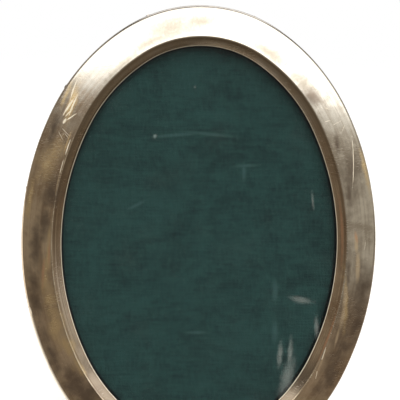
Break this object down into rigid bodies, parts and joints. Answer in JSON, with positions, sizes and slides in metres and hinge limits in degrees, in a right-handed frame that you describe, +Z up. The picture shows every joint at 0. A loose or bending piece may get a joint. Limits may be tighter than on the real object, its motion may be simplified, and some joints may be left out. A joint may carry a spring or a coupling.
{
  "type": "oval picture frame",
  "caption": "Oval photo frame: plain rounded silver border, glass, velvet-covered back with turn buttons, hanging ring and a hinged easel strut with ribbon stay.",
  "frame": {"origin": "centre of the whole frame's footprint on the surface it stands on", "axes": "+X to the right seen from the front, +Y from the front to the back and the strut, +Z up"},
  "size_m": [0.1524, 0.079, 0.1989],
  "materials": {
    "silver": "polished, lightly tarnished",
    "core_wood": "bare",
    "glass": "clear",
    "velvet": "short pile",
    "lining_cloth": "flat weave",
    "board": "bare",
    "ribbon": "ribbed silk",
    "brass": "aged",
    "steel": "dull"
  },
  "bodies": {
    "frame": {"silver_front": "silver", "core_ring": "core_wood", "edge_pins": "silver", "glass_pane": "glass", "front_velvet": "velvet", "backing_panel": "board", "back_velvet": "velvet", "rim_velvet": "velvet", "button_washers": "brass", "button_screws": "brass", "hinge_panel_leaf": "brass", "hinge_panel_rivets": "brass", "hinge_pin": "steel", "stay_ribbon": "ribbon", "stay_panel_tack": "brass", "hanger_plate": "brass", "hanger_nails": "steel"},
    "strut": {"strut_board": "board", "strut_lining": "lining_cloth", "strut_velvet": "velvet", "hinge_strut_leaf": "brass", "hinge_strut_rivets": "brass", "stay_strut_tack": "brass"},
    "hanging_ring": {"hanging_ring": "brass"},
    "turn_button_1": {"turn_button_1": "brass"},
    "turn_button_2": {"turn_button_2": "brass"},
    "turn_button_3": {"turn_button_3": "brass"},
    "turn_button_4": {"turn_button_4": "brass"}
  },
  "joints": [
    {"name": "strut_fold", "type": "hinge", "parent": "frame", "child": "strut", "pos_m": [0, 0.00904, 0.15045], "axis": [1, 0, 0], "range_deg": [-24, 0], "deforming": ["stay_ribbon"]},
    {"name": "ring_swing", "type": "hinge", "parent": "frame", "child": "hanging_ring", "pos_m": [0, 0.01939, 0.19239], "axis": [1, 0, 0], "range_deg": [-17, 160]},
    {"name": "turn_button_1_swivel", "type": "hinge", "parent": "frame", "child": "turn_button_1", "pos_m": [0.05162, 0.00991, 0.15932], "axis": [0, 0.9703, -0.2419], "continuous": true},
    {"name": "turn_button_2_swivel", "type": "hinge", "parent": "frame", "child": "turn_button_2", "pos_m": [0.05162, -0.02048, 0.03741], "axis": [0, 0.9703, -0.2419], "continuous": true},
    {"name": "turn_button_3_swivel", "type": "hinge", "parent": "frame", "child": "turn_button_3", "pos_m": [-0.05162, -0.02048, 0.03741], "axis": [0, 0.9703, -0.2419], "continuous": true},
    {"name": "turn_button_4_swivel", "type": "hinge", "parent": "frame", "child": "turn_button_4", "pos_m": [-0.05162, 0.00991, 0.15932], "axis": [0, 0.9703, -0.2419], "continuous": true}
  ]
}
